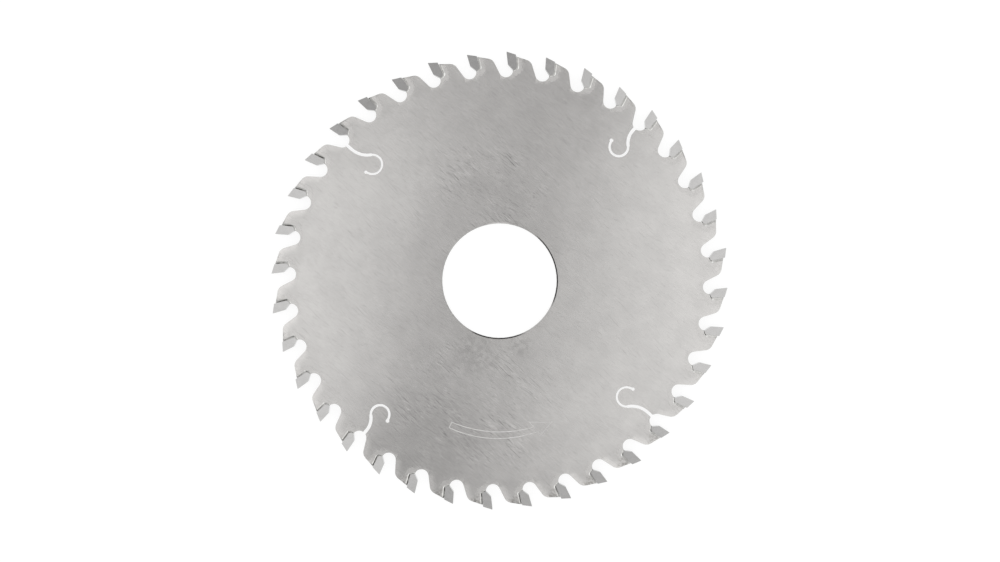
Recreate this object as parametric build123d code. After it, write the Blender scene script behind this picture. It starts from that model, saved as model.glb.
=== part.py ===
from build123d import *
import os
from math import atan2, cos, degrees, radians, sin, sqrt, tan

# Circular saw blade with conical carbide tips. The bore's axis is +Z and the origin is the
# bore's centre, halfway through the plate. The blade lies flat with its marked side up, and
# turns counter-clockwise as seen from above. All sizes are in millimetres and degrees.
#
# Each tooth is drawn in its own frame: X runs back from the rake face, Y runs outward from
# the bore's centre through the cutting corner, and Z is the blade's own.

# Blade
tip_circle_d = 180.0
tooth_count = 36
first_tooth_angle = 8.25
plate_t = 3.2
bore_d = 45.0
bore_chamfer = 0.5

# Carbide tips
side_overhang = 0.55
cone_angle = 5.0
side_relief = 3.0
hook_angle = 8.0
top_clearance = 15.5
top_bevel = 5.0
rake_height = 5.0
nose_bevel = 2.15
foot_length = 1.5
foot_rise = 19.4
back_tilt = 4.5
heel_cut = 0.54

# Gullets and shoulders of the plate
gullet_below_nose = 2.85
gullet_r = 2.8
flank_angle = 18.6
shoulder_drop = 0.65
shoulder_slope = 16.8
shoulder_r = 3.2

# Solder between a tip and its seat, with a hollow bead that climbs the tip's side
solder_gap = 0.1
foot_bead_w = 0.45
back_bead_w = 0.95
bead_climb = 0.85
bead_waist_w = 0.35
bead_waist_climb = 0.25
seat_chamfer = 0.3

# Expansion slots, cut from gullets: every second one is longer and finer
slot_count = 4
first_slot_tooth = 4
slot_leg_x = -0.2
hook_end_angle = 200.0
hook_tail = 1.3
short_slot = dict(drop=9.5, hook_x=0.0, hook_r=3.65, bend_r=7.5, leg_w=1.3, hook_w=0.95, eye_d=1.5)
long_slot = dict(drop=12.3, hook_x=0.85, hook_r=3.8, bend_r=9.4, leg_w=1.2, hook_w=0.8, eye_d=1.3)


def heading(angle):
    """The unit vector at an angle from +X."""
    return Vector(cos(radians(angle)), sin(radians(angle)))


def meet(p, p_angle, q, q_angle):
    """Where the line through p crosses the line through q, each given by its angle from +X."""
    d = heading(p_angle)
    e = heading(q_angle)
    step = q - p
    return p + d * ((step.X * e.Y - step.Y * e.X) / (d.X * e.Y - d.Y * e.X))


# Sizes that follow from those above
tip_r = tip_circle_d / 2
pitch = 360 / tooth_count
half_plate = plate_t / 2
half_kerf = half_plate + side_overhang
back_angle = 90 + back_tilt
flat_angle = (foot_rise + back_angle) / 2

# Corners of a tip's side, before its heel is cut off
cutting_corner = Vector(0, tip_r)
rake_foot = Vector(rake_height * tan(radians(hook_angle)), tip_r - rake_height)
nose = rake_foot + Vector(nose_bevel, -nose_bevel)
heel = nose + heading(foot_rise) * foot_length
back_top = meet(heel, back_angle, cutting_corner, -top_clearance)

# Gullet in front of a tip
gullet_floor_r = nose.Y - gullet_below_nose
gullet_centre = Vector(0, gullet_floor_r + gullet_r)


# Line round a tip's foot, cut-off heel and back
def seat_line(foot_gap, back_gap):
    """Four points, at one distance out from the foot and another from the back, run on at both ends."""
    run_on = back_bead_w * 2
    foot = nose + heading(foot_rise - 90) * foot_gap
    flat = heel - heading(foot_rise) * heel_cut + heading(flat_angle - 90) * (foot_gap + back_gap) / 2
    back = back_top + heading(back_angle - 90) * back_gap
    return [
        foot - heading(foot_rise) * run_on,
        meet(foot, foot_rise, flat, flat_angle),
        meet(flat, flat_angle, back, back_angle),
        back + heading(back_angle) * run_on,
    ]


def along_seat(section):
    """A solid with flat walls: each corner of its section is a gap at foot, a gap at back and a height."""
    lines = [[p + Vector(0, 0, z) for p in seat_line(foot, back)] for foot, back, z in section]
    walls = []
    for a, b in zip(lines, lines[1:] + lines[:1]):
        walls += [Face(Wire.make_polygon([a[j], a[j + 1], b[j + 1], b[j]])) for j in range(3)]
    caps = [Face(Wire.make_polygon([line[j] for line in lines])) for j in (0, 3)]
    return Solid(Shell(walls + caps))


# Carbide tip
def half_width(point):
    """Half a tip's width: it grows towards the foot and shrinks behind the rake face."""
    towards_foot = (tip_r - point.Y) * tan(radians(cone_angle))
    behind_rake = point.X * tan(radians(side_relief))
    return half_kerf + towards_foot - behind_rake


def make_tip():
    """A tip with its cutting corner on the upper side."""
    spare = heading(90 + hook_angle) * nose_bevel
    heel_front, heel_back = seat_line(0, 0)[1:3]
    outline = Polyline(
        cutting_corner + spare, rake_foot, nose, heel_front, heel_back, back_top + spare, close=True
    )
    tip = extrude(make_face(outline), amount=half_width(heel) * 2, both=True)

    # The two sides lean in towards the top and towards the back
    for side in (1, -1):
        corner = Vector(0, tip_r, side * half_kerf)
        lean = Vector(tan(radians(side_relief)), tan(radians(cone_angle)), side)
        tip = split(tip, bisect_by=Plane(origin=corner, z_dir=lean), keep=Keep.BOTTOM)

    # The top falls behind the cutting edge, and across from the upper corner to the lower
    fall = heading(90 - top_clearance) * cos(radians(top_bevel))
    top_plane = Plane(
        origin=Vector(0, tip_r, half_kerf), z_dir=fall - Vector(0, 0, sin(radians(top_bevel)))
    )
    return split(tip, bisect_by=top_plane, keep=Keep.BOTTOM)


# Seat in the plate: its corners, and the slope of the chamfer along its edge
seat_front, seat_heel_front, seat_heel_back, seat_top = seat_line(solder_gap, solder_gap)
shoulder_start = meet(seat_top, back_angle, back_top - Vector(0, shoulder_drop), -shoulder_slope)
chamfer_foot = Vector(solder_gap, solder_gap, half_plate - seat_chamfer)
chamfer_head = Vector(foot_bead_w, back_bead_w, half_plate)


def seat_edge_cutter():
    """The chamfer's cutter on the upper face, with its slope run on past both ends."""
    run_on = (chamfer_head - chamfer_foot) * 0.1
    low = chamfer_foot - run_on
    high = chamfer_head + run_on
    return along_seat([low, high, (low.X, low.Y, high.Z)])


# Solder film round a tip's foot and back, with a bead along both faces of the plate
def make_seam():
    climb = bead_climb * (half_width(back_top) - half_plate)
    waist_z = half_plate + climb * bead_waist_climb
    waist = (foot_bead_w * bead_waist_w, back_bead_w * bead_waist_w, waist_z)
    upper = [(0, 0, half_plate + climb), waist, tuple(chamfer_head), tuple(chamfer_foot)]
    lower = [(foot, back, -z) for foot, back, z in reversed(upper)]
    seam = along_seat(upper + lower)
    gullet = Pos(gullet_centre) * Cylinder(gullet_r, plate_t + climb * 3)
    shoulder = Plane(origin=shoulder_start, z_dir=heading(90 - shoulder_slope))
    return split(seam - gullet, bisect_by=shoulder, keep=Keep.BOTTOM)


# Plate outline from one tooth's seat, over its shoulder, to the next tooth's seat
def tooth_edges():
    # The seat's floor runs forward until it meets the gullet's circle
    along = heading(foot_rise)
    to_centre = gullet_centre - seat_front
    aside = to_centre.cross(along).length
    seat_start = seat_front + along * (to_centre.dot(along) + sqrt(gullet_r**2 - aside**2))

    # The flank is a tangent of the next gullet, one pitch clockwise
    next_centre = gullet_centre.rotate(Axis.Z, -pitch)
    next_floor = Vector(0, gullet_floor_r).rotate(Axis.Z, -pitch)
    next_start = seat_start.rotate(Axis.Z, -pitch)
    flank_end = next_centre - heading(flank_angle) * gullet_r
    flank_top = meet(shoulder_start, -shoulder_slope, flank_end, 90 + flank_angle)

    seat = Polyline(seat_start, seat_heel_front, seat_heel_back, shoulder_start)
    back = FilletPolyline(shoulder_start, flank_top, flank_end, radius=shoulder_r)
    gullet = ThreePointArc(flank_end, next_floor, next_start)
    return seat.edges() + back.edges() + gullet.edges()


# Expansion slot: a leg down from the gullet, bent into a hook that ends in a round eye
def slot_face(drop, hook_x, hook_r, bend_r, leg_w, hook_w, eye_d):
    hook_centre = Vector(hook_x, gullet_floor_r - drop)
    bend_x = slot_leg_x + bend_r
    rise = sqrt((bend_r + hook_r) ** 2 - (bend_x - hook_x) ** 2)
    bend_centre = hook_centre + Vector(bend_x - hook_x, rise)
    join_angle = degrees(atan2(rise, bend_x - hook_x))

    leg = Line((slot_leg_x, gullet_centre.Y), (slot_leg_x, bend_centre.Y))
    bend = CenterArc(bend_centre, bend_r, 180, join_angle)
    hook = CenterArc(hook_centre, hook_r, join_angle, hook_end_angle - 360 - join_angle)
    eye = hook @ 1 + heading(hook_end_angle - 90) * hook_tail
    wide = trace(leg.edges() + bend.edges(), leg_w) + Pos(bend @ 1) * Circle(leg_w / 2)
    fine = trace(hook.edges() + Line(hook @ 1, eye).edges(), hook_w)
    return wide + fine + Pos(eye) * Circle(eye_d / 2)


def at_tooth(number, shape):
    """Carry a shape from the tooth's frame to a tooth, counted counter-clockwise from 0."""
    return Rot(0, 0, first_tooth_angle - 90 + pitch * number) * shape


def make_plate():
    outline = make_face([at_tooth(n, e) for n in range(tooth_count) for e in tooth_edges()])
    outline -= Circle(bore_d / 2)
    for n in range(slot_count):
        tooth = first_slot_tooth + round(n * tooth_count / slot_count)
        slot = slot_face(**(long_slot if n % 2 else short_slot))
        outline -= at_tooth(tooth, slot)
    plate = extrude(outline, amount=half_plate, both=True)
    rims = [e for e in plate.edges().filter_by(GeomType.CIRCLE) if abs(e.radius - bore_d / 2) < 1e-6]
    plate = chamfer(rims, bore_chamfer)
    upper_cutter = seat_edge_cutter()
    cutters = [upper_cutter, mirror(upper_cutter, about=Plane.XY)]
    return plate - [at_tooth(n, c) for n in range(tooth_count) for c in cutters]


os.makedirs("parts", exist_ok=True)
export_step(make_plate(), "parts/blade_plate.step")

upper_tip = make_tip()
lower_tip = mirror(upper_tip, about=Plane.XY)
for n in range(tooth_count):
    tip = at_tooth(n, lower_tip if n % 2 else upper_tip)
    export_step(tip, f"parts/carbide_tip_{n + 1:02d}.step")

seam = make_seam()
export_step(
    Compound(children=[at_tooth(n, seam) for n in range(tooth_count)]), "parts/solder_seams.step"
)
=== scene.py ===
import math
import random

import bmesh
import bpy
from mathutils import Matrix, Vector, noise


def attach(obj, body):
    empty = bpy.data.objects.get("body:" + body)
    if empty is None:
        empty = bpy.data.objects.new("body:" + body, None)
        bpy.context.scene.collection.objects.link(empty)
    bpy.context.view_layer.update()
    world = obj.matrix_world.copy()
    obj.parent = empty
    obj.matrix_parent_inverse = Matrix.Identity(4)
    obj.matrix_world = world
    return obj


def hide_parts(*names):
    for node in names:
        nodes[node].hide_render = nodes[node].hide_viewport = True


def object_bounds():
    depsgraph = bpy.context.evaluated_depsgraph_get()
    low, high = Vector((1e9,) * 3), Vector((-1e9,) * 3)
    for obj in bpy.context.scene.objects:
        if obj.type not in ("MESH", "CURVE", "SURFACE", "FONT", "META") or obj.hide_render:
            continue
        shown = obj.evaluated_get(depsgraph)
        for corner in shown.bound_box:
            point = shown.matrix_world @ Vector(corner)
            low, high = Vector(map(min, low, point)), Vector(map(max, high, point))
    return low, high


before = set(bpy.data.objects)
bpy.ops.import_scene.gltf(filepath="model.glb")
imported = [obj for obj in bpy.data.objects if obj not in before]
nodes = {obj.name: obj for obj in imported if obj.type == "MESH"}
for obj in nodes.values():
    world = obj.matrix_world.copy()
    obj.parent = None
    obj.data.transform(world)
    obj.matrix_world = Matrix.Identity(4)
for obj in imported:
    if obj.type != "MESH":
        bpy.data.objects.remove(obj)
cad_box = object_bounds()
scene = bpy.context.scene
MM = 0.001

# Sizes of the blade, in millimetres and degrees, as its CAD source has them
TIP_R = 90.0
TEETH = 36
PITCH = 360 / TEETH
FIRST_TOOTH = 8.25
HALF_PLATE = 1.6
BORE_R = 22.5
BORE_CHAMFER = 0.5
HOOK_ANGLE = 8.0
TOP_CLEARANCE = 15.5
RAKE_HEIGHT = 5.0
NOSE_BEVEL = 2.15
FOOT_LENGTH = 1.5
FOOT_RISE = 19.4
BACK_ANGLE = 94.5
HEEL_CUT = 0.54
GULLET_BELOW_NOSE = 2.85
GULLET_R = 2.8
FLANK_ANGLE = 18.6
SHOULDER_DROP = 0.65
SHOULDER_SLOPE = 16.8
SOLDER_GAP = 0.1
SEAT_CHAMFER = 0.3
FOOT_BEAD_W = 0.45
BACK_BEAD_W = 0.95

# The share of a pitch in front of a cutting corner that still counts as its tooth's
TOOTH_FRONT = 0.15

# Solder beads: how high they climb a tip's side at its foot, at its heel and at the shoulder, how
# hollow and uneven they are, how deep their edges sink in, and the steps of their mesh
FOOT_CLIMB = 0.3
HEEL_CLIMB = 0.55
SHOULDER_CLIMB = 0.41
HOLLOWNESS = 1.9
WIDTH_RANGE = (0.92, 1.1)
CLIMB_RANGE = (0.88, 1.04)
WIDTH_UNEVENNESS = 0.1
CLIMB_UNEVENNESS = 0.12
FIRST_SEED = 5
EDGE_SINK = 0.03
FILM_SINK = 0.02
FOOT_STEPS = 5
HEEL_STEPS = 8
BACK_STEPS = 11
BACK_STEP = 0.36
SECTION_STEPS = 8

# Etched outline of an arrow that shows which way the blade turns: two arcs, each through three
# points, a head, and the line that is drawn along them
ARROW_INNER = (Vector((-18.74, -55.59)), Vector((-0.39, -59.44)), Vector((13.48, -57.5)))
ARROW_OUTER = (Vector((14.94, -59.3)), Vector((-0.39, -62.03)), Vector((-19.8, -57.79)))
ARROW_HEAD = [Vector((11.79, -55.59)), Vector((20.44, -55.67)), Vector((16.12, -60.7))]
ARC_STEPS = 24
LINE_W = 0.26
LINE_SINK = 0.004
LINE_PROUD = 0.006
MITRE_LIMIT = 0.35

# Grinding marks on the plate's faces: their way, their depth and the widths of the scratches. A
# layer of stray scratches has a lean to the grinding, a length, and a shift that sets it apart.
GRINDING_ANGLE = -38.0
MARK_DEPTH = 0.7
STRAY_W = 0.46
DEEP_W = 0.42
STRAYS = ((7.0, 3.2, 31.0), (-6.0, 4.2, 47.0), (1.0, 5.5, 59.0), (-12.0, 2.8, 71.0))

# Spots of the upper face that differ: scratched and smudged spots on the steel, and broad spots of painted
# light and painted shade.
# Each has its middle, the distance within which it is full and the distance where it ends.
HANDLED = (((-12.0, -48.0), 14.0, 46.0), ((-2.0, 36.0), 8.0, 36.0))
PAINTED_LIGHT_SPOTS = (((34.0, -56.0), 8.0, 42.0), ((-48.0, 42.0), 8.0, 38.0))
PAINTED_SHADE_SPOTS = (((-31.0, -63.0), 6.0, 35.0),)
FAINT_PAINTED_SHADE_SPOTS = (((-6.0, 12.0), 24.0, 35.0), ((-26.0, -18.0), 8.0, 28.0), ((-60.0, 56.0), 6.0, 22.0))
SMUDGED = (((8.3, -25.5), 2.0, 6.5), ((-9.0, -28.0), 3.0, 12.0))

# Floor, in metres, with its paleness, its glow and how much of a shadow it shows
FLOOR_HALF = 6.0
FLOOR_PALE = 0.8
FLOOR_GLOW = 0.85
FLOOR_SHADOWED = 0.21

# Two round softboxes in a row over the blade, in metres and degrees
LAMPS = (("softbox_left", -0.63), ("softbox_right", 0.61))
LAMP_HEIGHT = 1.2
LAMP_ACROSS = 1.022
LAMP_TURN = -1.0
LAMP_RADIANCE = 0.8

# Dark screens low round the blade: each one's azimuth and half its width, in degrees, how far its
# soft edge reaches out and in, and how dark it is
SCREENS = ((88.0, 24.0), (193.0, 34.0))
SCREEN_OUT = 7.0
SCREEN_IN = 5.0
SCREEN_DARK = 0.95

# Camera straight above, where the photograph has its own: metres, but lens and sensor in millimetres
CAMERA_PLACE = (0.0002, -0.00014, 0.9)
CAMERA_SENSOR = 36.0
CAMERA_LENS = 82.3
CAMERA_NEAR = 0.01


def heading(angle):
    """The unit vector at an angle from +X."""
    return Vector((math.cos(math.radians(angle)), math.sin(math.radians(angle))))


def meet(p, p_angle, q, q_angle):
    """Where the line through p crosses the line through q, each given by its angle from +X."""
    along = heading(p_angle)
    other = heading(q_angle)
    return p + along * ((q - p).cross(other) / along.cross(other))


# Places in a tooth's own frame: X runs back from the rake face, and Y runs outward from the
# bore's centre through the cutting corner
CUTTING_CORNER = Vector((0.0, TIP_R))
RAKE_FOOT = Vector((RAKE_HEIGHT * math.tan(math.radians(HOOK_ANGLE)), TIP_R - RAKE_HEIGHT))
NOSE = RAKE_FOOT + Vector((NOSE_BEVEL, -NOSE_BEVEL))
HEEL = NOSE + heading(FOOT_RISE) * FOOT_LENGTH
BACK_TOP = meet(HEEL, BACK_ANGLE, CUTTING_CORNER, -TOP_CLEARANCE)
SEAT_BACK = BACK_TOP + heading(BACK_ANGLE - 90) * SOLDER_GAP
SHOULDER_START = meet(SEAT_BACK, BACK_ANGLE, BACK_TOP - Vector((0.0, SHOULDER_DROP)), -SHOULDER_SLOPE)
GULLET_CENTRE = Vector((0.0, NOSE.y - GULLET_BELOW_NOSE + GULLET_R))
GULLET_FLOOR_R = GULLET_CENTRE.y - GULLET_R
NEXT_GULLET = heading(90 - PITCH) * GULLET_CENTRE.y
FLANK_END = NEXT_GULLET - heading(FLANK_ANGLE) * GULLET_R
TOOTH_MIDDLE = Vector((7.4, 81.0))

# The seat's line: along the foot, over the heel's cut and along the back
FOOT_ALONG = heading(FOOT_RISE)
BACK_ALONG = heading(BACK_ANGLE)
HEEL_FRONT = HEEL - FOOT_ALONG * HEEL_CUT
HEEL_BACK = HEEL + BACK_ALONG * HEEL_CUT


def grey(level, warm=0.0):
    """A grey colour of one level, with a little more red and less blue where it is warm."""
    return (level * (1 + warm), level, level * (1 - warm), 1.0)


STEEL = grey(0.473, 0.022)
BURNT_STEEL = (0.40, 0.382, 0.355, 1.0)
CARBIDE = grey(0.374, 0.012)
DULL_SOLDER = (0.47, 0.465, 0.45, 1.0)
BRIGHT_SOLDER = (0.55, 0.542, 0.525, 1.0)
# Painted highlight of the beads' outer edge
BEAD_HIGHLIGHT_PAINT = (0.67, 0.665, 0.65, 1.0)
# Painted shade of the dark line along the tips' backs
DARK_REFLECTION_PAINT = (0.045, 0.042, 0.038, 1.0)
FRESH_ETCHING = grey(0.64, 0.015)
WORN_ETCHING = grey(0.52, 0.02)


class Graph:
    """The nodes of a material or a world, made by short calls. Lengths in it are millimetres."""

    def __init__(self, owner):
        owner.use_nodes = True
        self.owner = owner
        self.tree = owner.node_tree

    def put(self, socket, value):
        if isinstance(value, bpy.types.NodeSocket):
            self.tree.links.new(value, socket)
        else:
            socket.default_value = value

    def node(self, kind, inputs=None, **settings):
        made = self.tree.nodes.new("ShaderNode" + kind)
        for key, value in settings.items():
            setattr(made, key, value)
        for socket, value in (inputs or {}).items():
            self.put(made.inputs[socket], value)
        return made

    def surface(self, inputs):
        """Set inputs of the material's own shader."""
        shader = self.tree.nodes["Principled BSDF"]
        for socket, value in inputs.items():
            self.put(shader.inputs[socket], value)

    def math(self, operation, *values):
        return self.node("Math", dict(enumerate(values)), operation=operation).outputs[0]

    def fold(self, operation, first, *others):
        """One operation over all the values, from left to right."""
        for value in others:
            first = self.math(operation, first, value)
        return first

    def add(self, *values):
        return self.fold("ADD", *values)

    def times(self, *values):
        return self.fold("MULTIPLY", *values)

    def most(self, *values):
        return self.fold("MAXIMUM", *values)

    def less(self, a, b):
        return self.math("SUBTRACT", a, b)

    def length(self, a, b):
        return self.math("SQRT", self.add(self.math("POWER", a, 2.0), self.math("POWER", b, 2.0)))

    def layered(self, value, *layers):
        """A value with masks added, each one times its strength."""
        for mask, strength in layers:
            value = self.add(value, self.times(mask, strength))
        return value

    def ramp(self, value, low, high, to_low=0.0, to_high=1.0):
        """A smooth step from to_low at low to to_high at high."""
        inputs = {"Value": value, "From Min": low, "From Max": high, "To Min": to_low, "To Max": to_high}
        return self.node("MapRange", inputs, interpolation_type="SMOOTHSTEP").outputs["Result"]

    def mix(self, factor, a, b, blend="MIX"):
        """A mix of two colours, which the node keeps at these numbers among its sockets."""
        made = self.node("Mix", data_type="RGBA", blend_type=blend)
        for index, value in ((0, factor), (6, a), (7, b)):
            self.put(made.inputs[index], value)
        return made.outputs[2]

    def toned(self, colour, level):
        """A colour made lighter or darker by a level."""
        plain = self.node("CombineColor", {0: level, 1: level, 2: level}).outputs[0]
        return self.mix(1.0, colour, plain, "MULTIPLY")

    def vector_math(self, operation, *values):
        return self.node("VectorMath", dict(enumerate(values)), operation=operation)

    def place(self):
        """The point's place in the blade's frame."""
        where = self.node("TexCoord").outputs["Object"]
        return self.node("VectorMath", {0: where, "Scale": 1 / MM}, operation="SCALE").outputs[0]

    def parts(self, vector):
        return self.node("SeparateXYZ", {0: vector}).outputs

    def turned(self, vector, angle, sizes, shift=0.0):
        """Turn a vector about Z and divide it by the sizes, for noise that is longer one way."""
        turn = self.node("Mapping", {"Vector": vector, "Rotation": (0, 0, math.radians(angle))}).outputs[0]
        factors = [1 / size for size in sizes]
        return self.vector_math("MULTIPLY_ADD", turn, factors, (shift, shift, shift)).outputs[0]

    def noise(self, vector, scale=1.0, detail=2.0, roughness=0.5):
        inputs = {"Vector": vector, "Scale": scale, "Detail": detail, "Roughness": roughness}
        return self.node("TexNoise", inputs).outputs["Fac"]

    def near_spots(self, place, spots):
        """1 in the middle of any of the spots, and 0 beyond their ends."""
        masks = []
        for middle, full, end in spots:
            away = self.vector_math("DISTANCE", place, (*middle, HALF_PLATE)).outputs["Value"]
            masks.append(self.ramp(away, end, full))
        return self.most(*masks)

    def towards(self, vector, azimuth):
        """How near a vector's azimuth is to one: 1 at it, 0 a quarter turn away and -1 opposite."""
        way = self.vector_math("NORMALIZE", vector).outputs[0]
        return self.vector_math("DOT_PRODUCT", way, (*heading(azimuth), 0.0)).outputs["Value"]

    def bump(self, height, proud, normal=None):
        """A normal bumped by a height of 0 to 1, where 1 stands so many millimetres proud."""
        made = self.node("Bump", {"Height": height, "Distance": proud * MM})
        if normal is not None:
            self.put(made.inputs["Normal"], normal)
        return made.outputs[0]


class ToothPlace:
    """A point's place in its tooth's own frame, as sockets of a graph."""

    def __init__(self, g, place):
        self.g = g
        x, y = g.parts(place)[:2]
        self.radius = g.length(x, y)
        angle = g.less(g.math("ARCTAN2", y, x), math.radians(FIRST_TOOTH))
        turn = g.math("DIVIDE", angle, math.radians(PITCH))
        self.number = g.math("FLOOR", g.add(turn, 1 - TOOTH_FRONT))
        off = g.times(g.less(turn, self.number), math.radians(PITCH))
        self.behind = g.times(self.radius, g.math("SINE", g.times(off, -1.0)))
        self.outward = g.times(self.radius, g.math("COSINE", off))

        # How far the point is above the tip's heel, behind its back, and from its back or foot
        self.above_heel = g.less(self.outward, HEEL.y)
        slant = g.times(self.above_heel, math.tan(math.radians(BACK_ANGLE - 90)))
        self.from_back = g.most(g.add(g.less(self.behind, HEEL.x), slant), 0.0)
        from_foot = g.most(g.times(self.inside(NOSE, FOOT_RISE - 90), -1.0), 0.0)
        self.from_seat = g.length(self.from_back, from_foot)

        # How far it is inside the shoulder's and the flank's lines
        self.under_shoulder = self.inside(SHOULDER_START, 90 - SHOULDER_SLOPE)
        self.inside_flank = self.inside(FLANK_END, FLANK_ANGLE)

    def inside(self, point, facing):
        """How far the place lies inside a line through a point that faces one way."""
        way = heading(facing)
        across = self.g.times(self.g.less(point.x, self.behind), way.x)
        return self.g.add(across, self.g.times(self.g.less(point.y, self.outward), way.y))

    def away(self, point):
        """How far the place is from a point."""
        return self.g.length(self.g.less(self.behind, point.x), self.g.less(self.outward, point.y))


# Ground steel of the plate
def grinding(g, place, lean, length, width, shift=0.0, **look):
    """Noise drawn out along the grinding, or at a lean to it, in streaks of a length and a width."""
    streaks = g.turned(place, lean - GRINDING_ANGLE, (length, width, MARK_DEPTH), shift)
    return g.noise(streaks, **look)


def stray_scratches(g, place):
    """Fine scratches at small leans: a mask of the light ones and a mask of the dark ones."""
    light = 0.0
    dark = 0.0
    for lean, length, shift in STRAYS:
        stray = grinding(g, place, lean, length, STRAY_W, shift, detail=1.0)
        light = g.most(light, g.ramp(stray, 0.67, 0.76))
        dark = g.most(dark, g.ramp(stray, 0.35, 0.25))
    return light, dark


def blasted_zone_with_painted_light(g, place, tooth, in_teeth):
    """The surroundings of seats and gullets, blasted after soldering, with a ragged end; the plate's
    colour is lifted there too, as painted light.
    """
    ragged = g.less(g.noise(place, scale=0.9, detail=3.0), 0.5)
    by_seat = g.ramp(g.add(tooth.from_seat, g.times(ragged, 2.2)), 3.2, 1.7)
    rim = g.add(g.less(tooth.away(GULLET_CENTRE), GULLET_R), g.times(ragged, 1.6))
    by_rim = g.times(g.ramp(rim, 2.2, 1.0), g.ramp(tooth.behind, 0.5, 2.4, 0.0, 0.8))
    return g.times(g.most(by_seat, by_rim), in_teeth)


def burnt_spots(g, place, tooth, burnt_teeth):
    """Blots behind the tips and along the shoulders, and the shoulders' dark edges."""
    blots = g.noise(g.turned(place, 20.0, (1.0, 0.8, 0.8), 11.0), detail=3.0, roughness=0.6)
    by_shoulder = g.times(g.ramp(tooth.under_shoulder, 2.0, 0.6), g.ramp(tooth.from_back, 5.5, 3.5))
    by_seat = g.times(g.ramp(tooth.from_seat, 3.6, 1.6), g.ramp(tooth.above_heel, -0.15, 1.65, 0.0, 0.65))
    burnt = g.times(g.most(by_shoulder, by_seat), g.ramp(tooth.from_seat, 0.8, 1.2))
    stain = g.times(g.ramp(blots, 0.38, 0.6), burnt, g.most(burnt_teeth, 0.2))

    edge = g.times(g.ramp(tooth.under_shoulder, 0.55, 0.2), g.ramp(tooth.from_back, 4.4, 2.2))
    edge = g.times(edge, g.ramp(g.noise(place, scale=0.3, detail=2.0), 0.42, 0.56))
    edge = g.times(edge, g.ramp(g.towards(place, 340.0), 0.55, 0.75, 1.0, 0.2))

    # Both are fainter on the plate's narrow sides than on its faces
    up = g.math("ABSOLUTE", g.parts(place)[2])
    stain = g.times(stain, g.ramp(up, 0.6, HALF_PLATE - 0.1, 0.25, 1.0))
    edge = g.times(edge, g.ramp(up, 0.6, HALF_PLATE - 0.1, 0.2, 1.0))
    return stain, edge


def edge_highlight_and_tooth_shade(g, place, tooth, in_teeth, burnt_teeth):
    """Painted highlight along the shoulders' and flanks' edges, and painted shade on the middles of the
    teeth, both mostly on one side of the blade.
    """
    painted_side = g.ramp(g.towards(place, 225.0), -0.6, 0.3, 0.25, 1.0)
    from_shoulder = g.layered(tooth.under_shoulder, (burnt_teeth, 2.0))
    edge_highlight = g.ramp(g.math("MINIMUM", from_shoulder, tooth.inside_flank), 3.2, 0.6)
    edge_highlight = g.times(edge_highlight, g.ramp(tooth.behind, 4.4, 6.2), in_teeth, painted_side)
    edge_highlight = g.times(edge_highlight, g.ramp(tooth.outward, FLANK_END.y - 1.35, FLANK_END.y + 0.35))
    edge_highlight = g.times(edge_highlight, g.ramp(burnt_teeth, 0.0, 1.0, 0.15, 0.25))
    tooth_shade = g.times(g.ramp(tooth.away(TOOTH_MIDDLE), 6.0, 1.5), painted_side)
    return edge_highlight, tooth_shade


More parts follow.
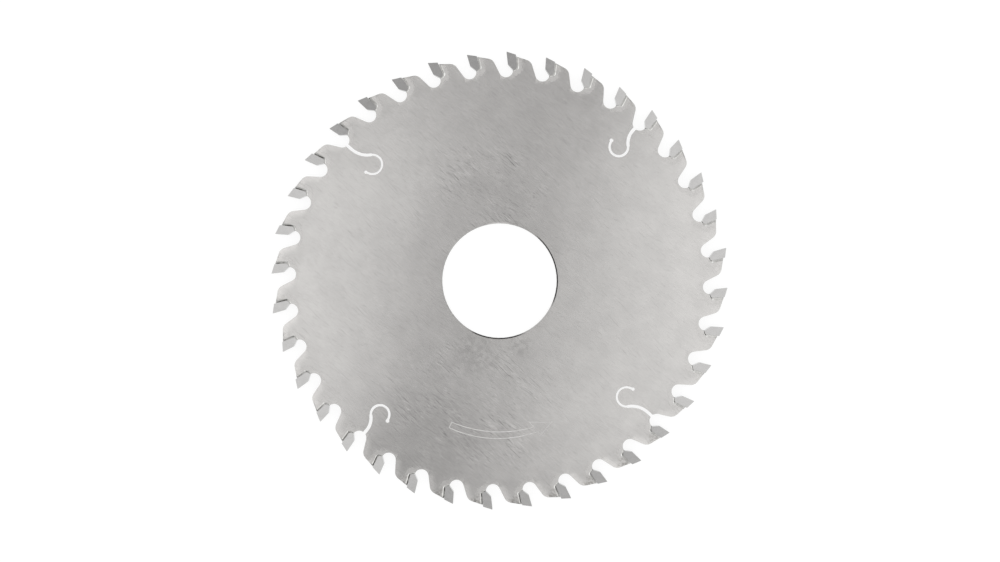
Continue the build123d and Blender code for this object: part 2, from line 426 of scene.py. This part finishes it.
def make_steel():
    g = Graph(bpy.data.materials.new("ground_steel"))
    place = g.place()
    tooth = ToothPlace(g, place)
    in_teeth = g.ramp(tooth.radius, GULLET_FLOOR_R - 2.5, GULLET_FLOOR_R + 0.5)

    # The most burnt teeth lie clockwise of the first one, where their numbers run down from -3 to -14
    burnt_teeth = g.times(g.ramp(tooth.number, -14.0, -10.0), g.ramp(tooth.number, -3.0, -6.0))

    # Short grinding marks that cross at a small angle, over a soft cloudiness
    coarse = grinding(g, place, -9.0, 5.0, 1.4, detail=4.0, roughness=0.6)
    middle = grinding(g, place, 10.0, 3.4, 0.6, 7.0)
    marks = g.add(g.times(coarse, 0.5), g.times(middle, 0.5))
    cloud = g.noise(place, scale=0.12, detail=4.0, roughness=0.6)

    # Scratches, thickest on two fields, above and below the bore, where the blade was handled
    light_stray, dark_stray = stray_scratches(g, place)
    patches = g.ramp(g.noise(place, scale=0.06, detail=2.0), 0.4, 0.62)
    deep = g.times(g.ramp(grinding(g, place, 8.0, 9.0, DEEP_W, 83.0, detail=1.0), 0.35, 0.28), patches)
    field = g.times(g.near_spots(place, HANDLED), g.add(g.times(patches, 0.6), 0.4))
    scratched = g.most(field, 0.25)

    blasted_and_painted_light = blasted_zone_with_painted_light(g, place, tooth, in_teeth)
    fringe = g.times(blasted_and_painted_light, g.less(1.0, blasted_and_painted_light), 4.0)
    stain, edge = burnt_spots(g, place, tooth, burnt_teeth)
    edge_highlight, tooth_shade = edge_highlight_and_tooth_shade(g, place, tooth, in_teeth, burnt_teeth)
    smears = g.ramp(g.noise(place, scale=0.45, detail=4.0, roughness=0.6), 0.38, 0.56)
    smudge = g.times(smears, g.near_spots(place, SMUDGED))

    scratches = g.layered(
        g.ramp(marks, 0.3, 0.7, -0.075, 0.075), (light_stray, 0.2), (dark_stray, -0.3), (deep, -0.45)
    )
    shade = g.layered(
        g.add(g.times(scratches, scratched), g.ramp(cloud, 0.3, 0.7, 0.965, 1.035)),
        # The blasted zones are made lighter too, as painted light on top of their real roughness
        (blasted_and_painted_light, g.ramp(burnt_teeth, 0.0, 1.0, 0.125, 0.04)),
        # Painted highlight along the teeth's edges and painted shade on their middles
        (edge_highlight, 1.0),
        (tooth_shade, -0.05),
        (fringe, -0.04),
        (stain, -0.42),
        (edge, -0.4),
        (smudge, -0.2),
        # Broad spots of painted light and painted shade on the upper face
        (g.near_spots(place, PAINTED_LIGHT_SPOTS), 0.07),
        (g.near_spots(place, PAINTED_SHADE_SPOTS), -0.14),
        (g.near_spots(place, FAINT_PAINTED_SHADE_SPOTS), -0.05),
    )
    tint = g.mix(g.times(stain, 0.5), STEEL, BURNT_STEEL)

    # The bore's chamfer is turned, so it is smoother than the ground face
    rough = g.layered(g.ramp(marks, 0.3, 0.7, 0.18, 0.2), (blasted_and_painted_light, 0.11), (smudge, 0.05))
    chamfer_end = BORE_R + BORE_CHAMFER
    rough = g.times(rough, g.ramp(tooth.radius, chamfer_end - 0.05, chamfer_end + 0.02, 0.45, 1.0))

    across = heading(GRINDING_ANGLE + 90)
    ground = g.bump(g.times(marks, scratched), 0.003)
    grain = g.noise(place, scale=3.0, detail=2.0)
    g.surface({
        "Base Color": g.toned(tint, shade),
        "Metallic": 1.0,
        "Roughness": rough,
        "Anisotropic": 0.88,
        "Tangent": g.node("CombineXYZ", {0: across.x, 1: across.y, 2: 0.0}).outputs[0],
        "Normal": g.bump(g.times(grain, blasted_and_painted_light), 0.004, ground),
    })
    return g.owner


# Finely ground carbide of the tips
def make_carbide():
    g = Graph(bpy.data.materials.new("ground_carbide"))
    place = g.place()
    cloud = g.noise(place, scale=0.5, detail=3.0)
    lines = g.noise(g.turned(place, 20.0, (3.0, 0.3, 0.3)), detail=2.0)
    shade = g.times(g.ramp(cloud, 0.3, 0.7, 0.97, 1.03), g.ramp(lines, 0.3, 0.7, 0.985, 1.015))
    g.surface({
        "Base Color": g.toned(CARBIDE, shade),
        "Metallic": 1.0,
        "Roughness": g.ramp(cloud, 0.3, 0.7, 0.14, 0.17),
        "Normal": g.bump(lines, 0.0003),
    })
    return g.owner


# Silver solder, flowed and then blasted
def painted_dark_reflection(g, place, tooth):
    """Painted shade: a dark line along the tips' backs, where the bead's fillet reflects dark
    surroundings, most of it on one side of the blade.
    """
    off_back = g.less(tooth.from_back, g.ramp(tooth.above_heel, 4.15, 0.65, 0.0, 0.2))
    line = g.times(g.ramp(off_back, 0.54, 0.36), g.ramp(off_back, -0.05, 0.12, 0.4, 1.0))
    line = g.times(line, g.ramp(tooth.above_heel, -0.15, 0.55), g.ramp(tooth.under_shoulder, 0.1, 0.6))
    patchy = g.ramp(g.noise(place, scale=0.45, detail=2.0), 0.38, 0.55, 0.35, 1.0)
    much = g.ramp(g.towards(place, 200.0), 0.0, 0.55, 0.2, 0.6)
    more = g.most(*[g.ramp(g.towards(place, azimuth), 0.8, 0.94) for azimuth in (157.0, 252.0)])
    little = g.ramp(g.towards(place, 338.0), 0.8, 0.92, 1.0, 0.3)
    return g.times(g.layered(much, (more, 0.4)), little, patchy, line)


def make_solder():
    g = Graph(bpy.data.materials.new("silver_solder"))
    place = g.place()
    tooth = ToothPlace(g, place)
    cloud = g.noise(place, scale=1.2, detail=3.0)
    grain = g.noise(place, scale=9.0, detail=2.0)
    # Painted highlight along the bead's outer edge by the foot and heel, where its fillet catches the
    # light
    painted_highlight = g.times(g.ramp(tooth.from_seat, 0.25, 0.42), g.ramp(tooth.above_heel, 1.65, 0.65))
    tone = g.mix(g.ramp(cloud, 0.35, 0.65), DULL_SOLDER, BRIGHT_SOLDER)
    tone = g.mix(painted_highlight, tone, BEAD_HIGHLIGHT_PAINT)
    g.surface({
        # Painted shade: the dark line along the tips' backs
        "Base Color": g.mix(g.times(painted_dark_reflection(g, place, tooth), 0.85), tone, DARK_REFLECTION_PAINT),
        "Metallic": 1.0,
        "Roughness": g.ramp(cloud, 0.3, 0.7, 0.12, 0.18),
        "Normal": g.bump(grain, 0.0006),
    })
    return g.owner


# Light etched line of the turning arrow, worn towards its head
def make_etched():
    g = Graph(bpy.data.materials.new("etched_line"))
    place = g.place()
    cloud = g.noise(place, scale=1.5, detail=3.0)
    worn = g.most(g.ramp(cloud, 0.45, 0.75, 0.0, 0.6), g.ramp(g.parts(place)[0], 4.0, 18.0))
    g.surface({
        "Base Color": g.mix(worn, FRESH_ETCHING, WORN_ETCHING),
        "Metallic": 0.8,
        "Roughness": g.ramp(cloud, 0.3, 0.7, 0.5, 0.62),
    })
    return g.owner


def paint(piece, material):
    piece.data.materials.clear()
    piece.data.materials.append(material)


steel = make_steel()
carbide = make_carbide()
solder = make_solder()
for name, node in nodes.items():
    if name == "blade_plate":
        paint(node, steel)
    elif name.startswith("carbide_tip"):
        paint(node, carbide)
    else:
        paint(node, solder)


def new_piece(name, mesh_maker, material):
    """A piece from a bmesh in millimetres, in the blade's frame."""
    made = bmesh.new()
    mesh_maker(made)
    bmesh.ops.recalc_face_normals(made, faces=made.faces)
    bmesh.ops.scale(made, vec=(MM, MM, MM), verts=made.verts)
    mesh = bpy.data.meshes.new(name)
    made.to_mesh(mesh)
    made.free()
    piece = bpy.data.objects.new(name, mesh)
    scene.collection.objects.link(piece)
    paint(piece, material)
    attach(piece, "root")
    return piece


def add_tube(mesh, rings):
    """Faces between each ring of vertices and the one after it."""
    for a, b in zip(rings, rings[1:]):
        for j in range(len(a)):
            k = (j + 1) % len(a)
            mesh.faces.new((a[j], a[k], b[k], b[j]))


# Solder beads: a film between tip and seat with a hollow, slightly uneven fillet on both faces
def at_tooth(number, spot, z):
    """A place in a tooth's own frame, carried to the blade's."""
    out = FIRST_TOOTH + PITCH * number
    flat = heading(out) * spot.y + heading(out - 90) * spot.x
    return (flat.x, flat.y, z)


def seat_stations():
    """Points round the tip's foot, heel and back: the point, the way out, and 0 at foot to 1 at back."""
    made = []
    foot_length = (HEEL_FRONT - NOSE).length
    for i in range(1, FOOT_STEPS):
        made.append((NOSE + FOOT_ALONG * (foot_length * i / FOOT_STEPS), heading(FOOT_RISE - 90), 0.0))
    for i in range(HEEL_STEPS + 1):
        t = i / HEEL_STEPS
        facing = FOOT_RISE - 90 + (BACK_ANGLE - FOOT_RISE) * t
        made.append((HEEL_FRONT.lerp(HEEL_BACK, t), heading(facing), t * t * (3 - 2 * t)))
    for i in range(1, BACK_STEPS + 1):
        made.append((HEEL_BACK + BACK_ALONG * (BACK_STEP * i), heading(BACK_ANGLE - 90), 1.0))
    return made


def fillet_section(width, climb):
    """Half a bead's section from the tip's wall to the film: gap from the tip, and height."""
    points = []
    for i in range(SECTION_STEPS + 1):
        u = i / SECTION_STEPS
        points.append((width * u, HALF_PLATE + climb * (1 - u) ** HOLLOWNESS))
    points.append((width + EDGE_SINK, HALF_PLATE - EDGE_SINK))
    points.append((SOLDER_GAP + FILM_SINK, HALF_PLATE - SEAT_CHAMFER - FILM_SINK))
    return points


def bead_size(number, i, side, point, share):
    """A bead's width and climb at a station, each along its own slow noise."""
    width = FOOT_BEAD_W + (BACK_BEAD_W - FOOT_BEAD_W) * share
    rise = max(point.y - HEEL_BACK.y, 0.0) / (SHOULDER_START.y - HEEL_BACK.y)
    climb = FOOT_CLIMB + (HEEL_CLIMB - FOOT_CLIMB) * share + (SHOULDER_CLIMB - HEEL_CLIMB) * rise
    width_noise = noise.noise(Vector((number * 3.7, i * 0.16, side * 2.0)))
    climb_noise = noise.noise(Vector((number + 0.5, i * 0.13, side * 5.0)))
    return width * (1 + WIDTH_UNEVENNESS * width_noise), climb * (1 + CLIMB_UNEVENNESS * climb_noise)


def run_to_gullet(point):
    """How far along the foot's line a point is from the gullet's circle."""
    to_centre = GULLET_CENTRE - point
    middle = to_centre.dot(FOOT_ALONG)
    aside = to_centre.length_squared - middle * middle
    return middle + math.sqrt(GULLET_R ** 2 - aside)


def run_to_shoulder(point):
    """How far along the back's line a point is from the shoulder."""
    across = heading(90 - SHOULDER_SLOPE)
    return (SHOULDER_START - point).dot(across) / BACK_ALONG.dot(across)


def make_beads(mesh):
    stations = seat_stations()
    for number in range(TEETH):
        rng = random.Random(number + FIRST_SEED)
        wide = rng.uniform(*WIDTH_RANGE)
        tall = rng.uniform(*CLIMB_RANGE)
        rings = []
        for i, (point, out, share) in enumerate(stations):
            ring = []
            for side in (1, -1):
                width, climb = bead_size(number, i, side, point, share)
                half = []
                for gap, z in fillet_section(width * wide, climb * tall):
                    spot = point + out * gap
                    if i == 0:
                        spot = spot + FOOT_ALONG * run_to_gullet(spot)
                    if i == len(stations) - 1:
                        spot = spot + BACK_ALONG * run_to_shoulder(spot)
                    half.append(mesh.verts.new(at_tooth(number, spot, side * z)))
                ring += half if side > 0 else half[::-1]
            rings.append(ring)
        add_tube(mesh, rings)
        mesh.faces.new(rings[0])
        mesh.faces.new(rings[-1])


beads = new_piece("solder_beads", make_beads, solder)
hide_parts("solder_seams")
for polygon in beads.data.polygons:
    polygon.use_smooth = len(polygon.vertices) == 4


# Turning arrow: a thin line that stands a little proud of the upper face
def arc_through(a, b, c):
    """Points from a over b to c on their circle."""
    to_b = b - a
    to_c = c - a
    twice = 2 * to_b.cross(to_c)
    centre = a + Vector((
        (to_c.y * to_b.length_squared - to_b.y * to_c.length_squared) / twice,
        (to_b.x * to_c.length_squared - to_c.x * to_b.length_squared) / twice,
    ))
    start = math.atan2(a.y - centre.y, a.x - centre.x)
    end = math.atan2(c.y - centre.y, c.x - centre.x)
    radius = (a - centre).length
    angles = [start + (end - start) * i / ARC_STEPS for i in range(ARC_STEPS + 1)]
    return [centre + Vector((math.cos(t), math.sin(t))) * radius for t in angles]


def make_arrow(mesh):
    line = arc_through(*ARROW_INNER) + ARROW_HEAD + arc_through(*ARROW_OUTER)
    low = HALF_PLATE - LINE_SINK
    high = HALF_PLATE + LINE_PROUD
    rings = []
    for i, point in enumerate(line):
        before = (point - line[i - 1]).normalized()
        after = (line[(i + 1) % len(line)] - point).normalized()
        aside = Vector((-(before.y + after.y), before.x + after.x)).normalized()
        reach = LINE_W / 2 / max(aside.dot(Vector((-after.y, after.x))), MITRE_LIMIT)
        a = point + aside * reach
        b = point - aside * reach
        corners = ((a, low), (a, high), (b, high), (b, low))
        rings.append([mesh.verts.new((corner.x, corner.y, z)) for corner, z in corners])
    add_tube(mesh, rings + rings[:1])


new_piece("turning_arrow", make_arrow, make_etched())


# Floor: it looks white to the camera and in reflections, and is a plain pale floor to other light
def floor_white():
    g = Graph(bpy.data.materials.new("floor_white"))
    path = g.node("LightPath").outputs
    shown = g.most(path["Is Camera Ray"], path["Is Glossy Ray"], path["Is Transmission Ray"])
    pale = g.node("BsdfDiffuse", {"Color": grey(FLOOR_PALE)}).outputs[0]
    shadowed = g.node("BsdfDiffuse", {"Color": grey(FLOOR_SHADOWED)}).outputs[0]
    glow = g.node("Emission", {"Color": grey(1.0), "Strength": FLOOR_GLOW}).outputs[0]
    white = g.node("AddShader", {0: shadowed, 1: glow}).outputs[0]
    both = g.node("MixShader", {0: shown, 1: pale, 2: white}).outputs[0]
    g.put(g.tree.nodes["Material Output"].inputs["Surface"], both)
    g.tree.nodes.remove(g.tree.nodes["Principled BSDF"])
    return g.owner


def make_floor():
    low = cad_box[0].z
    mesh = bpy.data.meshes.new("floor")
    corners = [(x * FLOOR_HALF, y * FLOOR_HALF, low) for x, y in ((-1, -1), (1, -1), (1, 1), (-1, 1))]
    mesh.from_pydata(corners, [], [(0, 1, 2, 3)])
    floor = bpy.data.objects.new("floor", mesh)
    scene.collection.objects.link(floor)
    mesh.materials.append(floor_white())


def add_softbox(name, middle):
    """A round lamp of an even radiance, so its power is that times pi times its area."""
    data = bpy.data.lights.new(name, "AREA")
    data.shape = "DISK"
    data.size = LAMP_ACROSS
    data.energy = LAMP_RADIANCE * math.pi * math.pi / 4 * LAMP_ACROSS ** 2
    lamp = bpy.data.objects.new(name, data)
    lamp.location = (*(heading(LAMP_TURN) * middle), LAMP_HEIGHT)
    lamp.rotation_euler.z = math.radians(LAMP_TURN)
    scene.collection.objects.link(lamp)


def make_sky():
    world = bpy.data.worlds.new("studio")
    scene.world = world
    g = Graph(world)
    g.tree.nodes.clear()
    x, y, z = g.parts(g.node("TexCoord").outputs["Generated"])

    # A pale studio, paler low down, and in the strip between the softboxes, most at its near end
    between = g.ramp(g.math("ABSOLUTE", x), 0.25, 0.12)
    near_end = g.times(g.ramp(y, -0.15, -0.27), g.times(between, 0.36))
    far_end = g.times(g.ramp(y, 0.08, 0.28), g.times(between, 0.1))
    level = g.add(near_end, far_end, g.ramp(z, 0.85, 0.5, 0.72, 0.95))

    # Screens, which the tips and the beads reflect
    around = g.node("CombineXYZ", {0: x, 1: y}).outputs[0]
    screens = 0.0
    for azimuth, half in SCREENS:
        outer = math.cos(math.radians(half + SCREEN_OUT))
        inner = math.cos(math.radians(half - SCREEN_IN))
        screens = g.most(screens, g.ramp(g.towards(around, azimuth), outer, inner))
    screens = g.times(screens, g.ramp(z, 0.42, 0.25))
    level = g.times(level, g.less(1.0, g.times(screens, SCREEN_DARK)))
    sky = g.node("Background", {"Color": grey(1.0), "Strength": level}).outputs[0]
    g.node("OutputWorld", {"Surface": sky})


make_floor()
make_sky()
for name, middle in LAMPS:
    add_softbox(name, middle)

camera_data = bpy.data.cameras.new("camera")
camera_data.sensor_width = CAMERA_SENSOR
camera_data.lens = CAMERA_LENS
camera_data.clip_start = CAMERA_NEAR
camera = bpy.data.objects.new("camera", camera_data)
camera.location = CAMERA_PLACE
scene.collection.objects.link(camera)
scene.camera = camera

scene.view_settings.view_transform = "Standard"
